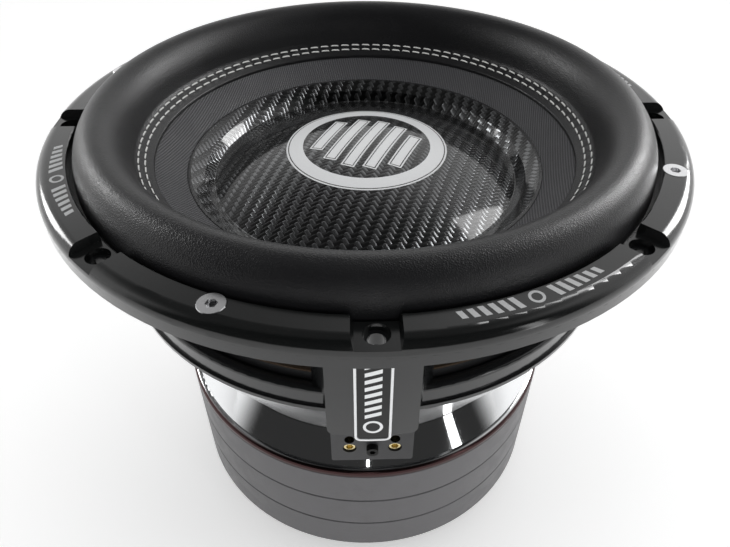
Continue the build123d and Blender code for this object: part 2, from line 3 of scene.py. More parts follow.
import bmesh
import bpy
import numpy as np
from bpy.props import FloatProperty, FloatVectorProperty, IntProperty, PointerProperty
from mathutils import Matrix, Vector


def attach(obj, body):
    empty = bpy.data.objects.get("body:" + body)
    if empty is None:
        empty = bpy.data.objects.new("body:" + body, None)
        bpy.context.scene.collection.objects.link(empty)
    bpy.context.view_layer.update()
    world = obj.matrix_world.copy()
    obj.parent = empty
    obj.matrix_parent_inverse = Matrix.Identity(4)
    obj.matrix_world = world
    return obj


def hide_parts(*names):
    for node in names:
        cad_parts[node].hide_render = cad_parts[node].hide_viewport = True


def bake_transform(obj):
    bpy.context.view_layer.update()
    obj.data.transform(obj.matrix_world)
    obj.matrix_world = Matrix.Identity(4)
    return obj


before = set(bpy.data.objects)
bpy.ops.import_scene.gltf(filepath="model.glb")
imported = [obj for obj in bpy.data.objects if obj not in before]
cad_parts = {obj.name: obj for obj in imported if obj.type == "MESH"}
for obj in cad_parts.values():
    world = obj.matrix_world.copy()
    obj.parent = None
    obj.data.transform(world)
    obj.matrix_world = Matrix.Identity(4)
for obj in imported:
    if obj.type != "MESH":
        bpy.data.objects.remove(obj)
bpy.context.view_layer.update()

bl_info = {
    "name": "Subwoofer Driver Finish",
    "version": (1, 0, 0),
    "blender": (4, 5, 0),
    "location": "View3D > Sidebar > Driver",
    "description": "Soft parts, prints and finishes for a twelve inch subwoofer driver",
    "category": "Object",
}

MM = 0.001
ROUND = 2 * math.pi

# heights and radii of the driver's fixed outline, in millimetres
CONE_SLOPE = 0.59
CONE_SEAT_R = 91.1
CONE_SEAT_Z = 217.3
SEAM_T = 1.74
GROOVE_R = 80.3
GROOVE_Z = 209.4
DOME_Z = 224.0
DOME_SPHERE_R = (GROOVE_R**2 + (DOME_Z - GROOVE_Z)**2) / (2 * (DOME_Z - GROOVE_Z))
RING_TOP_Z = 241.8
RING_FOOT_Z = 234.8
BADGE_FACE_R = 132.55
BADGE_BOTTOM_Z = 151.0
BADGE_TOP_Z = 224.3
FORMER_R = 50.6
MARK_R = 147.9
MARK_LEAN = 0.35
PRINT_GAP = 0.01


# ---- settings ------------------------------------------------------------------------------
def size(name, text, value):
    """A length in metres, shown in the scene's units; its default is given in millimetres."""
    return FloatProperty(name=name, description=text, default=value * MM, min=0.0, unit="LENGTH", precision=5)


def paint(name, text, value):
    """A linear colour without alpha."""
    return FloatVectorProperty(name=name, description=text, default=value, size=3, min=0.0, max=1.0,
                               subtype="COLOR")


def share(name, text, value):
    """A number from nought to one."""
    return FloatProperty(name=name, description=text, default=value, min=0.0, max=1.0, subtype="FACTOR")


class DRIVER_PG_surround(bpy.types.PropertyGroup):
    roll_radius: size("Roll Radius", "Radius from the axis to the middle of the half roll", 128.8)
    roll_half: size("Roll Half Width", "Half the width of the half roll", 13.0)
    roll_height: size("Roll Height", "Height of the roll's crest above the flange", 19.6)
    skin: size("Skin Thickness", "Thickness of the moulded roll", 2.1)
    colour: paint("Colour", "Colour of the moulded roll", (0.010, 0.010, 0.011))
    gloss: share("Roughness", "Roughness of the moulded roll", 0.32)
    grain: size("Grain", "Size of the leather-like grain", 0.55)
    thread: paint("Thread Colour", "Colour of the sewing thread", (0.82, 0.82, 0.80))
    stitches: IntProperty(name="Stitches", description="Stitches in each row", default=106, min=12, max=400)
    stitch_length: size("Stitch Length", "Length of one stitch that shows", 5.4)
    thread_half: size("Thread Half Width", "Half the width of the thread", 0.36)


class DRIVER_PG_diaphragm(bpy.types.PropertyGroup):
    cone_colour: paint("Cone Colour", "Colour of the pressed cone", (0.055, 0.055, 0.059))
    rib: size("Cone Rib", "Pitch of the cone's fine ribs", 1.15)
    tow: size("Tow Width", "Width of one carbon tow", 2.2)
    tow_turn: FloatProperty(name="Tow Turn", description="Turn of the weave about the axis",
                            default=math.radians(115), subtype="ANGLE")
    carbon: paint("Carbon Colour", "Colour of the carbon tows under the lacquer", (0.07, 0.072, 0.074))
    print_colour: paint("Print Colour", "Colour of the printed marks", (0.86, 0.87, 0.88))
    spider_colour: paint("Spider Colour", "Colour of the corrugated spiders", (0.05, 0.03, 0.016))


class DRIVER_PG_metalwork(bpy.types.PropertyGroup):
    trim_paint: paint("Trim Paint", "Colour of the trim ring", (0.006, 0.0065, 0.0065))
    basket_paint: paint("Basket Paint", "Colour of the basket's coating", (0.009, 0.0095, 0.010))
    plate: paint("Top Plate", "Colour of the polished top plate", (0.86, 0.87, 0.88))
    ferrite: paint("Ferrite", "Colour of the magnets", (0.105, 0.103, 0.108))
    brass: paint("Brass", "Colour of the contacts and set screws", (0.78, 0.66, 0.36))


class DRIVER_PG_stage(bpy.types.PropertyGroup):
    floor: paint("Floor", "Colour of the floor", (0.93, 0.93, 0.93))
    floor_glow: FloatProperty(name="Floor Glow", description="Light that the floor gives off", default=0.42,
                              min=0.0)
    key: FloatProperty(name="Key Light", description="Power that every softbox is a share of", default=7.0,
                       min=0.0,
                       unit="POWER")
    lens: FloatProperty(name="Lens", description="Focal length of the camera", default=31.46, min=1.0,
                        subtype="DISTANCE_CAMERA")


# ---- meshes --------------------------------------------------------------------------------
def cone_z(radius):
    """Height of the cone's upper face: a straight line in radius, in millimetres."""
    return CONE_SEAT_Z + CONE_SLOPE * (radius - CONE_SEAT_R)


def dome_z(radius):
    """Height of the dust cap's dome: a sphere's cap whose edge is the groove, in millimetres."""
    return DOME_Z - DOME_SPHERE_R + np.sqrt(DOME_SPHERE_R**2 - radius**2)


def rounded(points, cut, steps=6):
    """A closed outline with each corner replaced by a quadratic arc.

    At a corner P with neighbours A and B the arc is (1-t)^2 P1 + 2t(1-t) P + t^2 P2, where P1 and P2 lie on
    the two sides at the corner's cut, which is at most 0.48 of the shorter side.
    """
    here = np.asarray(points, float)
    before, after = np.roll(here, 1, 0) - here, np.roll(here, -1, 0) - here
    run_in, run_out = np.linalg.norm(before, axis=1), np.linalg.norm(after, axis=1)
    cut = np.minimum(np.broadcast_to(cut, len(here)), 0.48 * np.minimum(run_in, run_out))
    start = here + before * (cut / run_in)[:, None]
    stop = here + after * (cut / run_out)[:, None]
    t = np.linspace(0, 1, steps)[None, :, None]
    arcs = (1 - t)**2 * start[:, None] + 2 * t * (1 - t) * here[:, None] + t**2 * stop[:, None]
    return arcs.reshape(-1, 2)


def ellipse(centre, half, height, first, last, steps):
    """Points (c + a cos t, b + h sin t) on an ellipse, for t from first to last degrees."""
    t = np.radians(np.linspace(first, last, steps))
    return np.stack([centre[0] + half * np.cos(t), centre[1] + height * np.sin(t)], 1)


def grid_faces(rows, columns, wrap_rows, wrap_columns):
    """Corner numbers of the quads between neighbouring points of a rows x columns grid."""
    i, j = np.meshgrid(np.arange(rows - (not wrap_rows)), np.arange(columns - (not wrap_columns)),
                       indexing="ij")
    i, j = i.ravel(), j.ravel()
    up, right = (i + 1) % rows, (j + 1) % columns
    return np.stack([i * columns + j, i * columns + right, up * columns + right, up * columns + j], 1)


def new_piece(name, points, faces, body, material, weld=False):
    """A smooth-shaded mesh object at the origin from points in millimetres, riding on a body."""
    mesh = bpy.data.meshes.new(name)
    mesh.from_pydata((np.asarray(points).reshape(-1, 3) * MM).tolist(), [], np.asarray(faces).tolist())
    if weld:
        shape = bmesh.new()
        shape.from_mesh(mesh)
        bmesh.ops.remove_doubles(shape, verts=shape.verts, dist=1e-7)
        bmesh.ops.dissolve_degenerate(shape, edges=shape.edges, dist=1e-7)
        shape.to_mesh(mesh)
        shape.free()
    mesh.polygons.foreach_set("use_smooth", np.ones(len(mesh.polygons), bool))
    mesh.update()
    piece = bpy.data.objects.new(name, mesh)
    bpy.context.scene.collection.objects.link(piece)
    mesh.materials.append(material)
    if body:
        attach(piece, body)
    return piece


def turned(name, outline, segments, body, material, weld=False):
    """A surface of revolution: (r, z) of a counter-clockwise outline goes to (r cos a, r sin a, z)."""
    outline = np.asarray(outline, float)
    angle = np.linspace(0, ROUND, segments, endpoint=False)
    radius, height = outline[:, :1], outline[:, 1:]
    points = np.stack([radius * np.cos(angle), radius * np.sin(angle), height + 0 * angle], 2)
    faces = grid_faces(len(outline), segments, True, True)
    return new_piece(name, points, faces, body, material, weld)


def patches(rectangles, across, along):
    """Grids of points (s, t) over rectangles given as s0, s1, t0, t1, shaped (count, across, along, 2)."""
    r = np.asarray(rectangles, float)
    s = r[:, 0, None] + (r[:, 1] - r[:, 0])[:, None] * np.linspace(0, 1, across)
    t = r[:, 2, None] + (r[:, 3] - r[:, 2])[:, None] * np.linspace(0, 1, along)
    s, t = np.broadcast_arrays(s[:, :, None], t[:, None, :])
    return np.stack([s, t], 3)


def printed(name, grids, place, body, material, lift=0.05):
    """Thin printed patches, where place maps (s, t, height above the surface) to a point.

    Each patch is a closed slab: its upper sheet stands proud by lift and its lower sheet lies on the surface.
    """
    points, faces, start = [], [], 0
    for grid in grids:
        count, across, along = grid.shape[:3]
        upper = place(grid[..., 0], grid[..., 1], lift)
        lower = place(grid[..., 0], grid[..., 1], 0.0)[:, ::-1]
        rim = np.concatenate([upper, lower], 1)
        points.append(rim.reshape(-1, 3))
        ring = grid_faces(2 * across, along, True, False)
        row = np.arange(2 * across).reshape(2, across)
        side = np.stack([row[0, :-1], row[0, 1:], row[1, ::-1][1:], row[1, ::-1][:-1]], 1)
        caps = np.concatenate([side * along, (side * along + along - 1)[:, ::-1]])
        step = np.arange(count)[:, None, None] * (2 * across * along) + start
        faces.append((np.concatenate([ring[:, ::-1], caps])[None] + step).reshape(-1, 4))
        start += count * 2 * across * along
    piece = new_piece(name, np.concatenate(points), np.concatenate(faces), None, material)
    shape = bmesh.new()
    shape.from_mesh(piece.data)
    bmesh.ops.recalc_face_normals(shape, faces=shape.faces)
    shape.to_mesh(piece.data)
    shape.free()
    piece.data.polygons.foreach_set("use_smooth", np.zeros(len(piece.data.polygons), bool))
    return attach(piece, body)


def tube(name, line, half, sides, material):
    """A closed tube: line point + half (cos a N + sin a B), where N and B are square to the line and to X."""
    line = np.asarray(line, float)
    ahead = np.gradient(line, axis=0)
    ahead /= np.linalg.norm(ahead, axis=1)[:, None]
    side = np.tile([1.0, 0.0, 0.0], (len(line), 1))
    up = np.cross(ahead, side)
    angle = np.linspace(0, ROUND, sides, endpoint=False)[None, :, None]
    girth = np.concatenate([[0.0], np.full(len(line) - 2, half), [0.0]])[:, None, None]
    points = line[:, None] + girth * (np.cos(angle) * side[:, None] + np.sin(angle) * up[:, None])
    return new_piece(name, points, grid_faces(len(line), sides, False, True), None, material, weld=True)


def bend_with_cone(piece, weights):
    """Bakes the piece's transform into its mesh; the weights (0 for the frame, 1 for the cone) are not used.
    """
    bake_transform(piece)
    piece.data.update()


def corners(mesh):
    """The mesh's vertices as rows of x, y, z, in millimetres."""
    flat = np.empty(len(mesh.vertices) * 3)
    mesh.vertices.foreach_get("co", flat)
    return flat.reshape(-1, 3) / MM


def radii(piece):
    """Distance of each vertex from the axis, in millimetres."""
    return np.hypot(*corners(piece.data)[:, :2].T)


def ease(x):
    """Smooth step from 0 to 1."""
    x = np.clip(x, 0, 1)
    return x * x * (3 - 2 * x)


# ---- shader groups -------------------------------------------------------------------------
class Wiring:
    """Adds and joins nodes in one node tree."""

    def __init__(self, tree):
        self.tree = tree

    def node(self, kind, inputs=None, **settings):
        made = self.tree.nodes.new(kind)
        for key, value in settings.items():
            setattr(made, key, value)
        for key, value in (inputs or {}).items():
            self.feed(made.inputs[key], value)
        return made

    def feed(self, socket, value):
        if isinstance(value, bpy.types.NodeSocket):
            self.tree.links.new(value, socket)
        else:
            socket.default_value = value

    def maths(self, operation, *values, clamp=False):
        made = self.tree.nodes.new("ShaderNodeMath")
        made.operation, made.use_clamp = operation, clamp
        for socket, value in zip(made.inputs, values):
            self.feed(socket, value)
        return made.outputs[0]

    def ramp(self, value, low, high, out_low=0.0, out_high=1.0):
        made = self.node("ShaderNodeMapRange", {0: value, 1: low, 2: high, 3: out_low, 4: out_high},
                         interpolation_type="SMOOTHSTEP")
        return made.outputs[0]

    def mix(self, factor, first, second):
        made = self.tree.nodes.new("ShaderNodeMix")
        made.data_type = "RGBA"
        for index, value in ((0, factor), (6, first), (7, second)):
            if isinstance(value, tuple) and len(value) == 3:
                value = (*value, 1.0)
            self.feed(made.inputs[index], value)
        return made.outputs[2]

    def here(self):
        return self.node("ShaderNodeTexCoord").outputs["Object"]

    def noise(self, scale, detail=2.0, roughness=0.5, vector=None):
        made = self.node("ShaderNodeTexNoise", {"Vector": vector or self.here(), "Scale": scale,
                                                "Detail": detail, "Roughness": roughness})
        return made.outputs["Fac"]

    def group(self, tree, inputs=None):
        made = self.node("ShaderNodeGroup", node_tree=tree)
        for key, value in (inputs or {}).items():
            self.feed(made.inputs[key], value)
        return made

    def bump(self, height, distance, strength=1.0, normal=None):
        made = self.node("ShaderNodeBump", {"Height": height, "Distance": distance, "Strength": strength})
        if normal:
            self.feed(made.inputs["Normal"], normal)
        return made.outputs["Normal"]


def node_group(name, inputs, outputs):
    """An empty shader group with float or vector sockets, and its wiring and two end nodes."""
    tree = bpy.data.node_groups.new(name, "ShaderNodeTree")
    for label, kind, value in inputs:
        socket = tree.interface.new_socket(label, in_out="INPUT", socket_type=kind)
        if value is not None:
            socket.default_value = value
    for label in outputs:
        tree.interface.new_socket(label, in_out="OUTPUT", socket_type="NodeSocketFloat")
    wires = Wiring(tree)
    return tree, wires, wires.node("NodeGroupInput"), wires.node("NodeGroupOutput")


def weave_group():
    """Woven tows: Over of every Repeat tows lie on top, each a rounded float over its neighbours.

    The vector counts tows. A tow's height is (1 - a^2)(1 - b^6): a runs across it and b along its float.
    """
    tree, w, start, end = node_group(
        "Woven Tows",
        (("Vector", "NodeSocketVector", None), ("Repeat", "NodeSocketFloat", 4.0),
         ("Over", "NodeSocketFloat", 2.0)),
        ("Height", "Top", "Along"),
    )
    split = w.node("ShaderNodeSeparateXYZ", {0: start.outputs["Vector"]})
    u, v = split.outputs[0], split.outputs[1]
    repeat, over = start.outputs["Repeat"], start.outputs["Over"]
    cell_u, cell_v = w.maths("FLOOR", u), w.maths("FLOOR", v)
    phase = w.maths("FLOORED_MODULO", w.maths("ADD", cell_u, cell_v), repeat)
    top = w.maths("LESS_THAN", phase, over)
    under = w.maths("SUBTRACT", repeat, over)
    run_v = w.maths("DIVIDE", w.maths("FLOORED_MODULO", w.maths("ADD", v, cell_u), repeat), over)
    weft_turn = w.maths("FLOORED_MODULO", w.maths("ADD", u, cell_v), repeat)
    run_u = w.maths("DIVIDE", w.maths("SUBTRACT", weft_turn, over), under)

    def hump(position, power):
        centred = w.maths("ABSOLUTE", w.maths("MULTIPLY_ADD", position, 2.0, -1.0))
        return w.maths("SUBTRACT", 1.0, w.maths("POWER", centred, power), clamp=True)

    warp = w.maths("MULTIPLY", hump(w.maths("FRACT", u), 2.0), hump(run_v, 6.0))
    weft = w.maths("MULTIPLY", hump(w.maths("FRACT", v), 2.0), hump(run_u, 6.0))
    mixed = w.node("ShaderNodeMix", {0: top, 2: weft, 3: warp}, data_type="FLOAT")
    length = w.node("ShaderNodeMix", {0: top, 2: run_u, 3: run_v}, data_type="FLOAT")
    w.feed(end.inputs["Height"], mixed.outputs[0])
    w.feed(end.inputs["Top"], top)
    w.feed(end.inputs["Along"], length.outputs[0])
    return tree


def grain_group():
    """Leather-like grain: cell borders at one size with a finer noise over them, as a height and a mask."""
    tree, w, start, end = node_group(
        "Fine Grain", (("Scale", "NodeSocketFloat", 1500.0), ("Depth", "NodeSocketFloat", 0.5)),
        ("Height", "Mask"),
    )
    here = w.here()
    cells = w.node("ShaderNodeTexVoronoi", {"Vector": here, "Scale": start.outputs["Scale"]}, feature="F1")
    fine = w.noise(w.maths("MULTIPLY", start.outputs["Scale"], 2.3), 2.0, 0.6, here)
    height = w.maths("ADD", w.ramp(cells.outputs["Distance"], 0.05, 0.7, 1.0, 0.0),
                     w.maths("MULTIPLY", fine, start.outputs["Depth"]))
    w.feed(end.inputs["Height"], height)
    w.feed(end.inputs["Mask"], w.ramp(fine, 0.5, 0.75))
    return tree


def polar_group():
    """Radius and height in metres and the turn in whole turns of a point about the driver's axis."""
    tree, w, _start, end = node_group("Round The Axis", (), ("Radius", "Turn", "Height"))
    split = w.node("ShaderNodeSeparateXYZ", {0: w.here()})
    x, y = split.outputs[0], split.outputs[1]
    radius = w.maths("SQRT", w.maths("ADD", w.maths("MULTIPLY", x, x), w.maths("MULTIPLY", y, y)))
    w.feed(end.inputs["Radius"], radius)
    w.feed(end.inputs["Turn"], w.maths("DIVIDE", w.maths("ARCTAN2", y, x), ROUND))
    w.feed(end.inputs["Height"], split.outputs[2])
    return tree


def handling_group():
    """Handling marks: broad soft smudges and sparse fine dust, as a roughness change and a dust mask."""
    tree, w, start, end = node_group("Handling Marks", (("Amount", "NodeSocketFloat", 0.1),),
                                     ("Roughness", "Dust"))
    here = w.here()
    smudge = w.ramp(w.noise(22.0, 3.0, 0.6, here), 0.35, 0.75)
    specks = w.ramp(w.noise(2600.0, 1.0, 0.5, here), 0.70, 0.80)
    w.feed(end.inputs["Roughness"], w.maths("MULTIPLY", smudge, start.outputs["Amount"]))
    w.feed(end.inputs["Dust"], w.maths("MULTIPLY", specks, start.outputs["Amount"]))
    return tree


def group(name):
    """The shared shader group of that name, built on first use."""
    makers = {"Woven Tows": weave_group, "Fine Grain": grain_group, "Round The Axis": polar_group,
              "Handling Marks": handling_group}
    return bpy.data.node_groups.get(name) or makers[name]()


# ---- finishes ------------------------------------------------------------------------------
def finish_of(name, colour, roughness, **sockets):
    """A material with a Principled shader whose uniform values sit on its own sockets."""
    material = bpy.data.materials.new(name)
    material.use_nodes = True
    wires = Wiring(material.node_tree)
    shader = material.node_tree.nodes["Principled BSDF"]
    shader.inputs["Base Color"].default_value = (*colour, 1.0)
    shader.inputs["Roughness"].default_value = roughness
    for key, value in sockets.items():
        shader.inputs[key.replace("_", " ")].default_value = value
    return material, wires, shader


def worn(name, colour, roughness, marks=0.08, grain=0.0, grain_scale=1500.0, dust=(0.35, 0.35, 0.34),
         **sockets):
    """A plain finish with handling marks in its roughness, sparse dust, and an optional fine grain."""
    material, w, shader = finish_of(name, colour, roughness, **sockets)
    handled = w.group(group("Handling Marks"), {"Amount": marks})
    w.feed(shader.inputs["Roughness"], w.maths("ADD", handled.outputs["Roughness"], roughness, clamp=True))
    w.feed(shader.inputs["Base Color"], w.mix(handled.outputs["Dust"], colour, dust))
    if grain:
        fine = w.group(group("Fine Grain"), {"Scale": grain_scale, "Depth": 0.5})
        w.feed(shader.inputs["Normal"], w.bump(fine.outputs["Height"], grain * MM))
    return material


def roll_finish(settings, stitch_count):
    """Moulded roll: satin black with leather-like grain, gathered slightly at each stitch of the seam."""
    material, w, shader = finish_of("Moulded Roll", tuple(settings.colour), settings.gloss,
                                    Specular_IOR_Level=0.42)
    fine = w.group(group("Fine Grain"), {"Scale": 0.8 / settings.grain, "Depth": 0.6})
    place = w.group(group("Round The Axis"))
    handled = w.group(group("Handling Marks"), {"Amount": 0.10})
    radius, turn = place.outputs["Radius"], place.outputs["Turn"]
    wave = w.maths("COSINE", w.maths("MULTIPLY", turn, ROUND * stitch_count))
    band = w.maths("MULTIPLY", w.ramp(radius, 0.1090, 0.1105), w.ramp(radius, 0.1138, 0.1155, 1.0, 0.0))
    gather = w.maths("MULTIPLY", w.maths("MULTIPLY", wave, band), 0.5)
    pinch = w.bump(gather, 0.25 * MM)
    w.feed(shader.inputs["Normal"], w.bump(fine.outputs["Height"], 0.08 * MM, 0.9, pinch))
    rough = w.maths("ADD", handled.outputs["Roughness"], settings.gloss)
    w.feed(shader.inputs["Roughness"],
           w.maths("ADD", rough, w.maths("MULTIPLY", fine.outputs["Mask"], 0.10), clamp=True))
    w.feed(shader.inputs["Base Color"], w.mix(handled.outputs["Dust"], tuple(settings.colour),
                                              (0.3, 0.3, 0.3)))
    return material


def cone_finish(settings):
    """Pressed cone: matt charcoal cloth whose ribs run one way, painted lighter on the raised yarns as a
    highlight and darker in the grooves as shade.
    """
    colour = tuple(settings.cone_colour)
    material, w, shader = finish_of("Cone Cloth", colour, 0.55, Specular_IOR_Level=0.4)
    spread = w.node("ShaderNodeMapping", {"Vector": w.here(), "Rotation": (0, 0, math.radians(8)),
                                          "Scale": (1 / settings.rib, 1.6 / settings.rib, 1 / settings.rib)})
    weave = w.group(group("Woven Tows"), {"Vector": spread.outputs[0], "Repeat": 2.0, "Over": 1.0})
    ribs = w.node("ShaderNodeTexWave", {"Vector": spread.outputs[0], "Scale": 0.314, "Distortion": 0.4,
                                        "Detail": 1.0}, wave_type="BANDS", bands_direction="X")
    height = w.maths("MULTIPLY_ADD", ribs.outputs["Fac"], 0.8,
                     w.maths("MULTIPLY", weave.outputs["Height"], 0.5))
    w.feed(shader.inputs["Normal"], w.bump(height, 0.16 * MM))
    # painted highlight on the raised yarns and painted shade in the grooves, taken from the rib height
    w.feed(shader.inputs["Base Color"], w.mix(w.ramp(height, 0.3, 1.1), tuple(0.5 * c for c in colour),
                                              tuple(1.55 * c for c in colour)))
    w.feed(shader.inputs["Roughness"], w.ramp(w.noise(60.0, 3.0), 0.2, 0.8, 0.48, 0.62))
    return material


def carbon_finish(settings):
    """Twill carbon under clear lacquer, with rounded tows that catch the light in turn, and painted highlight
    and shade in the base colour.
    """
    colour = tuple(settings.carbon)
    material, w, shader = finish_of("Lacquered Carbon", colour, 0.18, Metallic=0.9, Coat_Weight=0.8,
                                    Coat_Roughness=0.07, Coat_IOR=1.5)
    spread = w.node("ShaderNodeMapping", {"Vector": w.here(), "Rotation": (0, 0, -settings.tow_turn),
                                          "Scale": (1 / settings.tow, 1 / settings.tow, 1 / settings.tow)})
    weave = w.group(group("Woven Tows"), {"Vector": spread.outputs[0], "Repeat": 4.0, "Over": 2.0})
    top = weave.outputs["Top"]
    strands = w.node("ShaderNodeMapping", {"Vector": spread.outputs[0], "Scale": (14.0, 1.2, 1.0)})
    cross = w.node("ShaderNodeMapping", {"Vector": spread.outputs[0], "Scale": (1.2, 14.0, 1.0)})
    fibres = w.node("ShaderNodeMix", {0: top, 2: w.noise(1.0, 1.0, 0.5, cross.outputs[0]),
                                      3: w.noise(1.0, 1.0, 0.5, strands.outputs[0])}, data_type="FLOAT")
    height = w.maths("MULTIPLY_ADD", fibres.outputs[0], 0.10, weave.outputs["Height"])
    w.feed(shader.inputs["Normal"], w.bump(height, 0.22 * MM))
    # painted light: the under tow family is painted lighter as a highlight, the top family darker as shade,
    # and the tows' rounded edges are painted with shade
    edge = w.ramp(weave.outputs["Height"], 0.0, 0.35)
    bright = w.mix(top, tuple(1.4 * c for c in colour), tuple(0.16 * c for c in colour))
    w.feed(shader.inputs["Base Color"], w.mix(edge, (0.004, 0.004, 0.004), bright))
    w.feed(shader.inputs["Roughness"], w.ramp(fibres.outputs[0], 0.2, 0.8, 0.14, 0.24))
    return material


def lacquer_finish(name, colour, roughness, ripple):
    """Gloss paint: a smooth coat with a slow ripple, handling marks and sparse dust."""
    material, w, shader = finish_of(name, colour, roughness, Specular_IOR_Level=0.1, Coat_Weight=0.9,
                                    Coat_Roughness=0.15)
    handled = w.group(group("Handling Marks"), {"Amount": 0.06})
    normal = w.bump(w.noise(ripple, 2.0), 0.03 * MM)
    w.feed(shader.inputs["Normal"], normal)
    w.feed(shader.inputs["Roughness"], w.maths("ADD", handled.outputs["Roughness"], roughness, clamp=True))
    w.feed(shader.inputs["Base Color"], w.mix(handled.outputs["Dust"], colour, (0.4, 0.4, 0.4)))
    return material


def machined_finish(name, colour, roughness, pitch, depth):
    """Turned metal: faint concentric tool lines in a bright metal."""
    material, w, shader = finish_of(name, colour, roughness, Metallic=1.0)
    place = w.group(group("Round The Axis"))
    lines = w.maths("ADD", place.outputs["Radius"], place.outputs["Height"])
    wobble = w.noise(1.0, 3.0, 0.6, w.node("ShaderNodeCombineXYZ",
                                           {0: w.maths("DIVIDE", lines, pitch)}).outputs[0])
    w.feed(shader.inputs["Normal"], w.bump(wobble, depth * MM))
    handled = w.group(group("Handling Marks"), {"Amount": 0.05})
    w.feed(shader.inputs["Roughness"], w.maths("ADD", handled.outputs["Roughness"], roughness, clamp=True))
    w.feed(shader.inputs["Base Color"], w.mix(w.ramp(wobble, 0.3, 0.7), tuple(0.92 * c for c in colour),
                                              colour))
    return material


def plate_finish(settings):
    """Mirror-polished top plate whose low rim has a painted dark red-brown reflection."""
    material, w, shader = finish_of("Polished Plate", tuple(settings.plate), 0.045, Metallic=1.0)
    place = w.group(group("Round The Axis"))
    handled = w.group(group("Handling Marks"), {"Amount": 0.04})
    polished = w.ramp(place.outputs["Height"], 0.0908, 0.0914)
    tool = w.noise(1.0, 3.0, 0.6, w.node("ShaderNodeCombineXYZ", {
        0: w.maths("DIVIDE", place.outputs["Radius"], 0.0012)}).outputs[0])
    w.feed(shader.inputs["Normal"], w.bump(tool, 0.0012 * MM))
    # painted reflection: the low rim is coloured dark red-brown in place of dark surroundings mirrored in the
    # polished metal
    w.feed(shader.inputs["Base Color"], w.mix(polished, (0.055, 0.030, 0.030), tuple(settings.plate)))
    w.feed(shader.inputs["Roughness"],
           w.maths("ADD", handled.outputs["Roughness"], w.ramp(polished, 0.0, 1.0, 0.22, 0.035)))
    return material


def ferrite_finish(settings):
    """Painted ferrite: satin grey with a fine speckle, faint rings and a darker line at each joint."""
    colour = tuple(settings.ferrite)
    material, w, shader = finish_of("Painted Ferrite", colour, 0.42, Specular_IOR_Level=0.45)
    place = w.group(group("Round The Axis"))
    height = place.outputs["Height"]
    slug = w.maths("DIVIDE", w.maths("SUBTRACT", height, 0.012), 0.025)
    gap = w.maths("ABSOLUTE", w.maths("SUBTRACT", w.maths("FRACT", slug), 0.5))
    joint = w.ramp(gap, 0.478, 0.492)
    mottled = w.ramp(w.noise(90.0, 4.0, 0.65), 0.3, 0.7)
    base = w.mix(mottled, tuple(0.86 * c for c in colour), tuple(1.12 * c for c in colour))
    w.feed(shader.inputs["Base Color"], w.mix(joint, base, tuple(0.35 * c for c in colour)))
    fine = w.group(group("Fine Grain"), {"Scale": 1300.0, "Depth": 0.7})
    w.feed(shader.inputs["Normal"], w.bump(fine.outputs["Height"], 0.03 * MM))
    w.feed(shader.inputs["Roughness"], w.ramp(mottled, 0.0, 1.0, 0.36, 0.48))
    return material


def winding_finish(name, colour, pitch):
    """Voice coil wire: fine turns stacked along the former."""
    material, w, shader = finish_of(name, colour, 0.3, Metallic=1.0)
    place = w.group(group("Round The Axis"))
    turn = w.maths("FRACT", w.maths("DIVIDE", place.outputs["Height"], pitch * MM))
    crown = w.maths("SINE", w.maths("MULTIPLY", turn, math.pi))
    w.feed(shader.inputs["Normal"], w.bump(crown, 0.2 * MM))
    # painted shade: the colour darkens to a quarter between the turns, taken from the wire's height
    w.feed(shader.inputs["Base Color"], w.mix(w.ramp(crown, 0.0, 0.5), tuple(0.25 * c for c in colour),
                                              colour))
    return material


def cloth_finish(name, colour, pitch, roughness=0.8, metal=0.0):
    """Open woven cloth: a plain weave with painted shade in the gaps between the yarns."""
    material, w, shader = finish_of(name, colour, roughness, Metallic=metal)
    spread = w.node("ShaderNodeMapping", {"Vector": w.here(), "Scale": (1 / (pitch * MM),) * 3})
    weave = w.group(group("Woven Tows"), {"Vector": spread.outputs[0], "Repeat": 2.0, "Over": 1.0})
    w.feed(shader.inputs["Normal"], w.bump(weave.outputs["Height"], 0.15 * pitch * MM))
    # painted shade: the base colour falls to a quarter where the weave is low, between the yarns
    w.feed(shader.inputs["Base Color"], w.mix(w.ramp(weave.outputs["Height"], 0.0, 0.5),
                                              tuple(0.25 * c for c in colour), colour))
    return material


def badge_finish(print_colour):
    """Badge: a black field inside a printed border, told apart by the distance to a rounded outline."""
    material, w, shader = finish_of("Badge Enamel", (0.006, 0.006, 0.006), 0.3, Specular_IOR_Level=0.3)
    split = w.node("ShaderNodeSeparateXYZ", {0: w.here()})
    across = w.maths("SUBTRACT", w.maths("ABSOLUTE", split.outputs[0]), 0.0053)
    middle = (BADGE_BOTTOM_Z + BADGE_TOP_Z) / 2 * MM
    along = w.maths("SUBTRACT", w.maths("ABSOLUTE", w.maths("SUBTRACT", split.outputs[2], middle)), 0.03375)
    corner = w.maths("SQRT", w.maths("ADD", w.maths("POWER", w.maths("MAXIMUM", across, 0.0), 2.0),
                                     w.maths("POWER", w.maths("MAXIMUM", along, 0.0), 2.0)))
    border = w.maths("MULTIPLY", w.ramp(corner, 0.00168, 0.00178), w.ramp(corner, 0.00282, 0.00290, 1.0, 0.0))
    handled = w.group(group("Handling Marks"), {"Amount": 0.08})
    w.feed(shader.inputs["Roughness"], w.maths("ADD", handled.outputs["Roughness"], 0.3))
    w.feed(shader.inputs["Base Color"], w.mix(border, (0.006, 0.006, 0.006), print_colour))
    return material


def dress(material, *names):
    """Gives CAD nodes a finish through their objects' material slots."""
    for name in names:
        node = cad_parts[name]
        if not node.material_slots:
            node.data.materials.append(material)
        for slot in node.material_slots:
            slot.material = material


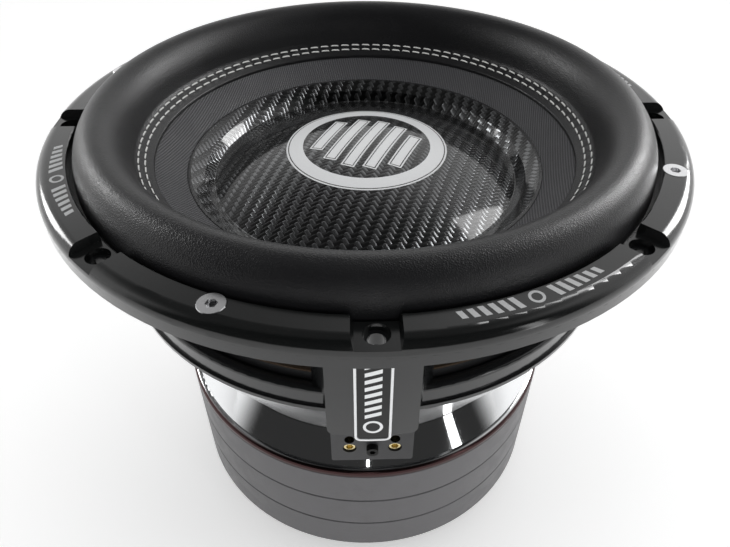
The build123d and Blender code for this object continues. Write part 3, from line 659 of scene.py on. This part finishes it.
# ---- prints --------------------------------------------------------------------------------
def framed(bars, line, gap):
    """Each bar (s0, s1, t0, t1) as a border of four thin strips and a filled middle inside a narrow gap."""
    b = np.asarray(bars, float)
    s0, s1, t0, t1 = b.T
    inner = line + gap
    return np.concatenate([
        np.stack([s0, s1, t0, t0 + line], 1), np.stack([s0, s1, t1 - line, t1], 1),
        np.stack([s0, s0 + line, t0 + line, t1 - line], 1),
        np.stack([s1 - line, s1, t0 + line, t1 - line], 1),
        np.stack([s0 + inner, s1 - inner, t0 + inner, t1 - inner], 1),
    ])


def level_bars(count, pitch, width, tallest, shortest, middle=0.0):
    """A row of bars centred on nought whose heights fall away from the middle by a cosine."""
    place = (np.arange(count) - (count - 1) / 2) * pitch
    half = 0.5 * (shortest + (tallest - shortest) * np.cos(place / (abs(place).max() + pitch) * math.pi / 2))
    keep = abs(place) >= middle
    return np.stack([place - width / 2, place + width / 2, -half, half], 1)[keep]


# ---- operators -----------------------------------------------------------------------------
class DRIVER_OT_surround(bpy.types.Operator):
    """Half-roll surround with its sewn seam and clamped foot, and the two rows of stitches"""

    bl_idname = "driver.surround"
    bl_label = "Surround"

    def execute(self, context):
        s = context.scene.driver_surround
        roll_r, half, height, skin = (v / MM for v in (s.roll_radius, s.roll_half, s.roll_height, s.skin))
        base = RING_FOOT_Z + 0.4
        inner, outer = roll_r - half, roll_r + half
        outline = np.concatenate([
            rounded([
                (inner + skin, base), (inner + skin, cone_z(inner + skin) + 0.05),
                (107.0, cone_z(107.0) + 0.05),
                (107.0, cone_z(107.0) + SEAM_T), (inner - 0.6, cone_z(inner - 0.6) + SEAM_T),
                (inner, base + 2.5),
            ], [0, 0.2, 0.1, 0.5, 2.2, 2.0])[6:-6],
            ellipse((roll_r, base), half, height, 168, 0, 48),
            rounded([
                (outer, base), (outer, RING_FOOT_Z - 0.02), (145.2, RING_FOOT_Z - 0.02),
                (145.2, RING_FOOT_Z - 1.95),
                (outer - skin, RING_FOOT_Z - 1.95), (outer - skin, base),
            ], [0, 0.3, 0.1, 0.1, 0.3, 0])[6:-6],
            ellipse((roll_r, base), half - skin, height - skin, 0, 180, 40),
        ])[::-1]
        roll = turned("surround_roll", outline, 360, None, roll_finish(s, s.stitches))
        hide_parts("surround")
        travel = (outer - 1.0 - radii(roll)) / (outer - inner - 2.0)
        bend_with_cone(roll, ease(travel))

        steps, sides = 11, 8
        across, turn = np.linspace(-1, 1, steps), np.linspace(0, ROUND, sides, endpoint=False)
        angle = np.arange(s.stitches) * ROUND / s.stitches
        girth = np.sqrt(np.clip(1 - across**8, 0, 1))[:, None] * s.thread_half / MM
        points = []
        for row in (110.7, 113.6):
            a = angle[:, None, None] + across[None, :, None] * s.stitch_length / MM / 2 / row
            r = row + girth[None] * np.cos(turn) + 0.12 * across[None, :, None]
            z = cone_z(r) + SEAM_T + 0.34 - 0.5 * across[None, :, None]**6 + 0.8 * girth[None] * np.sin(turn)
            points.append(np.stack(np.broadcast_arrays(r * np.cos(a), r * np.sin(a), z), 3))
        points = np.concatenate(points)
        one = grid_faces(steps, sides, False, True)
        faces = (one[None, :, ::-1] + np.arange(len(points))[:, None, None] * steps * sides).reshape(-1, 4)
        thread = worn("Sewing Thread", tuple(s.thread), 0.55, 0.1, dust=(0.6, 0.6, 0.6))
        stitches = new_piece("seam_stitches", points, faces, "cone_assembly", thread,
                             weld=True)
        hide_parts("stitch_thread")
        return {"FINISHED"}


class DRIVER_OT_diaphragm(bpy.types.Operator):
    """Pressed cone, lacquered carbon dust cap with its printed mark, and the glue bead"""

    bl_idname = "driver.diaphragm"
    bl_label = "Cone And Dust Cap"

    def execute(self, context):
        s = context.scene.driver_diaphragm
        top = [(54.0, 191.0), (79.0, 206.0), (89.5, cone_z(89.5)), (118.6, cone_z(118.6))]
        under = [(118.6, cone_z(118.6) - 2.25), (90.1, cone_z(90.1) - 2.25), (79.6, 203.75), (54.6, 188.65),
                 (50.55, 187.55), (50.55, 190.95)]
        outline = rounded(top + under, [1, 2, 3, 0.6, 0.6, 3, 2, 1, 0.2, 0.2])[::-1]
        cone = turned("cone_shell", outline, 288, "cone_assembly", cone_finish(s))
        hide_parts("cone")

        r = np.linspace(GROOVE_R - 1.0, 0, 34)
        skirt = rounded([
            (r[0], dome_z(r[0])), (GROOVE_R - 0.1, GROOVE_Z + 0.1), (84.4, 214.5),
            (CONE_SEAT_R, CONE_SEAT_Z + 1.18),
            (CONE_SEAT_R, CONE_SEAT_Z + 0.03), (85.2, cone_z(85.2) + 0.03), (81.2, GROOVE_Z - 1.15),
            (r[0] - 0.2, dome_z(r[0] - 0.2) - 1.15),
        ], [0, 0.5, 0.5, 0.3, 0.2, 0.6, 0.5, 0])[6:-6]
        outline = np.concatenate([np.stack([r[::-1], dome_z(r[::-1])], 1), skirt,
                                  np.stack([r, dome_z(r) - 1.15], 1)])[::-1]
        cap = turned("carbon_cap", outline, 288, "cone_assembly", carbon_finish(s), weld=True)
        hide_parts("dust_cap")

        turn = math.radians(-24)
        bars = level_bars(5, 11.0, 7.4, 52.0, 15.0)

        def on_dome(p, q, lift):
            """Turns flat points (p, q) about the mark's middle and lays them on the dome."""
            x, y = p * np.cos(turn) - q * np.sin(turn) + 1.0, p * np.sin(turn) + q * np.cos(turn) + 5.0
            return np.stack([x, y, dome_z(np.hypot(x, y)) + 0.02 + lift], -1)

        def loop_on_dome(p, q, lift):
            """The same for points given by an angle and a radius about the mark's middle."""
            return on_dome(q * np.cos(p), q * np.sin(p), lift)

        ink = worn("Printed Mark", tuple(s.print_colour), 0.3, 0.05, dust=(0.7, 0.7, 0.7))
        printed("cap_mark", [patches(framed(bars, 0.8, 0.6), 6, 24)], on_dome, "cone_assembly",
                ink)
        printed("cap_mark_loop", [patches([(0, ROUND, 34.0, 41.4), (0, ROUND, 42.0, 42.9)], 96, 5)],
                loop_on_dome,
                "cone_assembly", ink)
        dress(worn("Cured Glue", (0.01, 0.01, 0.011), 0.22, 0.2, 0.1, 500.0), "cap_bead")
        return {"FINISHED"}


class DRIVER_OT_suspension(bpy.types.Operator):
    """Corrugated spiders, their spacer ring, the voice coil and the woven lead wires"""

    bl_idname = "driver.suspension"
    bl_label = "Spiders, Coil And Leads"

    def execute(self, context):
        s = context.scene.driver_diaphragm
        cloth = cloth_finish("Spider Cloth", tuple(s.spider_colour), 0.7)
        for name, base in (("spider_lower", 176.72), ("spider_upper", 184.72)):
            r = np.linspace(FORMER_R + 0.05, 123.6, 150)
            swell = ease((r - 56) / 6) * ease((111.5 - r) / 5)
            z = base + 1.5 * swell * np.sin((r - 56) / 55.5 * ROUND * 6)
            outline = np.concatenate([np.stack([r, z + 0.95], 1), np.stack([r, z], 1)[::-1]])[::-1]
            spider = turned(name + "_cloth", outline, 216, None, cloth)
            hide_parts(name)
            bend_with_cone(spider, ease((112.0 - radii(spider)) / (112.0 - 56.0)))
        dress(worn("Moulded Spacer", (0.012, 0.012, 0.013), 0.4, 0.1, 0.03), "spider_spacer")
        dress(machined_finish("Former Foil", (0.78, 0.78, 0.80), 0.28, 0.0006, 0.01), "coil_former")
        dress(winding_finish("Coil Wire", (0.80, 0.36, 0.18), 0.9), "coil_inner", "coil_outer")

        braid = cloth_finish("Braided Lead", (0.62, 0.34, 0.20), 0.45, 0.4, 0.9)
        route = np.array([(122.3, 203.0), (114.0, 201.5), (109.0, 193.5), (101.5, 190.4), (94.5, 194.5),
                          (91.5, 204.0), (91.2, 213.0)])
        for end, sign in (("front", -1), ("rear", 1)):
            for hand, x in (("a", -10.5), ("b", 10.5)):
                curve = bpy.data.curves.new("route", "CURVE")
                curve.dimensions = "3D"
                spline = curve.splines.new("NURBS")
                spline.points.add(len(route) - 1)
                flat = np.stack([np.full(len(route), -sign * x), sign * route[:, 0], route[:, 1],
                                 np.full(len(route), 1000.0)], 1) * MM
                spline.points.foreach_set("co", flat.ravel())
                spline.order_u, spline.use_endpoint_u, spline.resolution_u = 3, True, 12
                holder = bpy.data.objects.new("route", curve)
                line = corners(bpy.data.meshes.new_from_object(holder))
                bpy.data.objects.remove(holder)
                lead = tube(f"lead_{end}_{hand}_braid", line, 0.9, 12, braid)
                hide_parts(f"lead_{end}_{hand}")
                bend_with_cone(lead, ease((119.0 - np.abs(corners(lead.data)[:, 1])) / (119.0 - 93.0)))
        return {"FINISHED"}


class DRIVER_OT_metalwork(bpy.types.Operator):
    """Paint, plate and grain for the basket, trim ring, motor and fixings"""

    bl_idname = "driver.metalwork"
    bl_label = "Basket, Ring And Motor"

    def execute(self, context):
        s = context.scene.driver_metalwork
        dress(lacquer_finish("Trim Lacquer", tuple(s.trim_paint), 0.12, 260.0), "trim_ring")
        dress(lacquer_finish("Basket Coat", tuple(s.basket_paint), 0.2, 420.0), "basket")
        bright = machined_finish("Bright Steel", (0.72, 0.72, 0.73), 0.2, 0.0004, 0.01)
        dress(bright, "trim_ring_screws")
        dress(worn("Black Oxide", (0.018, 0.018, 0.02), 0.4, 0.15, 0.02, Metallic=0.6), "basket_bolts")
        dress(worn("Black Screw", (0.005, 0.005, 0.005), 0.5, 0.1, 0.02, Specular_IOR_Level=0.2),
              "terminal_screws")
        dress(worn("Screen Steel", (0.08, 0.08, 0.085), 0.4, 0.15, 0.02, Metallic=0.8), "vent_screen")
        dress(ferrite_finish(s), "magnet_lower", "magnet_middle", "magnet_upper")
        dress(worn("Yoke Paint", (0.03, 0.03, 0.032), 0.38, 0.15, 0.03, 1200.0), "yoke")
        dress(machined_finish("Shorting Copper", (0.82, 0.42, 0.26), 0.3, 0.0005, 0.02), "shorting_ring")
        dress(plate_finish(s), "top_plate")
        return {"FINISHED"}


class DRIVER_OT_terminals(bpy.types.Operator):
    """Terminal blocks, brass contacts and set screws, and the solder tabs"""

    bl_idname = "driver.terminals"
    bl_label = "Terminals"

    def execute(self, context):
        s = context.scene.driver_metalwork
        dress(worn("Block Plastic", (0.022, 0.022, 0.024), 0.42, 0.12, 0.04, 1400.0), "terminal_block_front",
              "terminal_block_rear")
        brass = worn("Bright Brass", tuple(s.brass), 0.2, 0.15, 0.01, dust=(0.5, 0.42, 0.25), Metallic=1.0)
        dress(brass, "contacts_front", "contacts_rear", "lead_tabs", *(
            f"set_screw_{end}_{hand}" for end in ("front", "rear") for hand in "ab"))
        return {"FINISHED"}


class DRIVER_OT_prints(bpy.types.Operator):
    """Generic printed level bars and rings on the trim ring and the spoke badges"""

    bl_idname = "driver.prints"
    bl_label = "Prints"

    def execute(self, context):
        ink = bpy.data.materials["Printed Mark"]
        white = tuple(context.scene.driver_diaphragm.print_colour)
        grey_ink = worn("Grey Print", tuple(0.6 * c for c in white), 0.35, 0.05)
        dress(badge_finish(white), "badge_front", "badge_rear")
        bars = level_bars(15, 4.1, 2.3, 6.2, 3.2, middle=8.0)
        for index in range(4):
            middle = math.radians(22.5 + 90 * index)

            def on_ring(p, q, lift, middle=middle):
                """Leans the bars and wraps them round the ring's flat top."""
                a, r = middle + (p + MARK_LEAN * q) / MARK_R, MARK_R + q
                return np.stack([r * np.cos(a), r * np.sin(a), RING_TOP_Z + PRINT_GAP + lift + 0 * a], -1)

            def ring_on_ring(p, q, lift, middle=middle):
                """A small ring: angle p and radius q about a centre on the flat top."""
                x, y = MARK_R + q * np.sin(p), q * np.cos(p)
                return np.stack([x * math.cos(middle) - y * math.sin(middle),
                                 x * math.sin(middle) + y * math.cos(middle),
                                 RING_TOP_Z + PRINT_GAP + lift + 0 * x], -1)

            printed(f"ring_mark_{index}", [patches(bars, 4, 4)], on_ring, "frame",
                    grey_ink)
            printed(f"ring_mark_{index}_loop", [patches([(0, ROUND, 2.0, 3.1)], 40, 3)], ring_on_ring,
                    "frame",
                    grey_ink)
        column = level_bars(13, 4.6, 2.4, 7.2, 7.2)[1:]
        for name, side in (("front", -1), ("rear", 1)):

            def on_badge(p, q, lift, side=side):
                """Stacks the bars up the badge: p is height, q is sideways, wrapped on the badge's curve."""
                a = side * math.pi / 2 - side * q / BADGE_FACE_R
                r = BADGE_FACE_R + PRINT_GAP + lift
                return np.stack([r * np.cos(a), r * np.sin(a), 192.5 + p + MARK_LEAN * q], -1)

            def loop_on_badge(p, q, lift, side=side):
                """A ring at the badge's foot: angle p and radius q about a point on its curve."""
                a = side * math.pi / 2 - side * q * np.cos(p) / BADGE_FACE_R
                r = BADGE_FACE_R + PRINT_GAP + lift
                return np.stack([r * np.cos(a), r * np.sin(a), 161.0 + q * np.sin(p)], -1)

            printed(f"badge_{name}_bars", [patches(column, 3, 8)], on_badge, "frame", ink)
            printed(f"badge_{name}_loop", [patches([(0, ROUND, 3.1, 4.4)], 40, 3)], loop_on_badge, "frame",
                    ink)
        return {"FINISHED"}


class DRIVER_OT_stage(bpy.types.Operator):
    """Pale floor, soft lights and the camera"""

    bl_idname = "driver.stage"
    bl_label = "Stage"

    def execute(self, context):
        s = context.scene.driver_stage
        mesh = bpy.data.meshes.new("floor")
        mesh.from_pydata([(-8, -8, 0), (8, -8, 0), (8, 8, 0), (-8, 8, 0)], [], [(0, 1, 2, 3)])
        floor = bpy.data.objects.new("floor", mesh)
        context.scene.collection.objects.link(floor)
        material, _wires, _shader = finish_of("Paper Floor", tuple(s.floor), 0.8,
                                              Emission_Strength=s.floor_glow,
                                              Emission_Color=(*s.floor, 1.0))
        mesh.materials.append(material)

        world = bpy.data.worlds.new("Studio")
        world.use_nodes = True
        context.scene.world = world
        w = Wiring(world.node_tree)
        surface = world.node_tree.nodes["Background"]
        surface.inputs["Color"].default_value = (1.0, 1.0, 1.0, 1.0)
        # the room is dark in front, bright behind, and dims overhead, sooner on the left than on the right
        split = w.node("ShaderNodeSeparateXYZ", {0: w.node("ShaderNodeTexCoord").outputs["Generated"]})
        back = w.ramp(split.outputs[1], -0.45, -0.1, 0.03, 1.0)
        left, right = w.ramp(split.outputs[2], 0.42, 0.80, 1.0, 0.12), w.ramp(split.outputs[2], 0.66, 0.95,
                                                                              1.0, 0.12)
        low = w.node("ShaderNodeMix", {0: w.ramp(split.outputs[0], -0.25, 0.3), 2: left, 3: right},
                     data_type="FLOAT")
        strength = w.maths("MULTIPLY", back, low.outputs[0])
        seen = w.node("ShaderNodeLightPath").outputs["Is Camera Ray"]
        w.feed(surface.inputs["Strength"], w.maths("MAXIMUM", strength, seen))

        def lamp(name, place, width, depth, power, mirrored=True, lit=True):
            """A softbox aimed at the driver: it can be left out of reflections or of plain lighting."""
            data = bpy.data.lights.new(name, "AREA")
            data.shape, data.size, data.size_y, data.energy = "RECTANGLE", width, depth, power
            holder = bpy.data.objects.new(name, data)
            context.scene.collection.objects.link(holder)
            holder.location = place
            holder.rotation_mode = "QUATERNION"
            holder.rotation_quaternion = (Vector((0, 0, 0.2)) - Vector(place)).to_track_quat("-Z", "Y")
            holder.visible_glossy, holder.visible_diffuse = mirrored, lit

        lamp("right softbox", (1.36, 0.76, 0.90), 0.6, 0.6, 2.2 * s.key, lit=False)
        lamp("high strip", (0.94, 0.73, 1.29), 0.22, 0.6, 0.38 * s.key, lit=False)
        lamp("left softbox", (-1.36, 0.66, 0.78), 0.4, 0.5, 1.0 * s.key, lit=False)
        lamp("front strip", (0.0, -1.9, 0.62), 0.04, 0.9, 0.12 * s.key)
        lamp("front panel", (1.3, -1.2, 0.45), 0.16, 1.0, 0.3 * s.key)
        lamp("overhead fill", (0.0, 0.3, 2.6), 2.4, 2.4, 3.0 * s.key, mirrored=False)
        lamp("front fill", (0.3, -2.4, 1.3), 1.6, 1.2, 3.0 * s.key, mirrored=False)

        data = bpy.data.cameras.new("camera")
        data.lens, data.sensor_width, data.dof.use_dof = s.lens, 36.0, False
        camera = bpy.data.objects.new("camera", data)
        context.scene.collection.objects.link(camera)
        turn = math.radians(-1.5)
        place = Vector((0.2974 * math.sin(turn), -0.2974 * math.cos(turn), 0.3951))
        camera.location = place
        camera.rotation_mode = "QUATERNION"
        camera.rotation_quaternion = (Vector((0, 0, 0.1338)) - place).to_track_quat("-Z", "Y")
        context.scene.camera = camera
        context.scene.view_settings.view_transform = "Standard"
        return {"FINISHED"}


class DRIVER_PT_panel(bpy.types.Panel):
    """Lists the settings and the builders"""

    bl_idname = "DRIVER_PT_panel"
    bl_label = "Subwoofer Driver"
    bl_space_type = "VIEW_3D"
    bl_region_type = "UI"
    bl_category = "Driver"

    def draw(self, context):
        for group_class, name in GROUPS:
            box = self.layout.box()
            for key in group_class.__annotations__:
                box.prop(getattr(context.scene, name), key)
        for builder in BUILDERS:
            self.layout.operator(builder.bl_idname)


GROUPS = ((DRIVER_PG_surround, "driver_surround"), (DRIVER_PG_diaphragm, "driver_diaphragm"),
          (DRIVER_PG_metalwork, "driver_metalwork"), (DRIVER_PG_stage, "driver_stage"))
BUILDERS = (DRIVER_OT_stage, DRIVER_OT_surround, DRIVER_OT_diaphragm, DRIVER_OT_suspension,
            DRIVER_OT_metalwork,
            DRIVER_OT_terminals, DRIVER_OT_prints)


def register():
    """Adds the settings, builders and panel."""
    for group_class, name in GROUPS:
        bpy.utils.register_class(group_class)
        setattr(bpy.types.Scene, name, PointerProperty(type=group_class))
    for made in (*BUILDERS, DRIVER_PT_panel):
        bpy.utils.register_class(made)


def unregister():
    """Takes away what register added."""
    for made in (DRIVER_PT_panel, *reversed(BUILDERS)):
        bpy.utils.unregister_class(made)
    for group_class, name in reversed(GROUPS):
        delattr(bpy.types.Scene, name)
        bpy.utils.unregister_class(group_class)


def main():
    """Builds everything in order."""
    register()
    bpy.ops.driver.stage()
    bpy.ops.driver.surround()
    bpy.ops.driver.diaphragm()
    bpy.ops.driver.suspension()
    bpy.ops.driver.metalwork()
    bpy.ops.driver.terminals()
    bpy.ops.driver.prints()


if __name__ == "__main__":
    main()
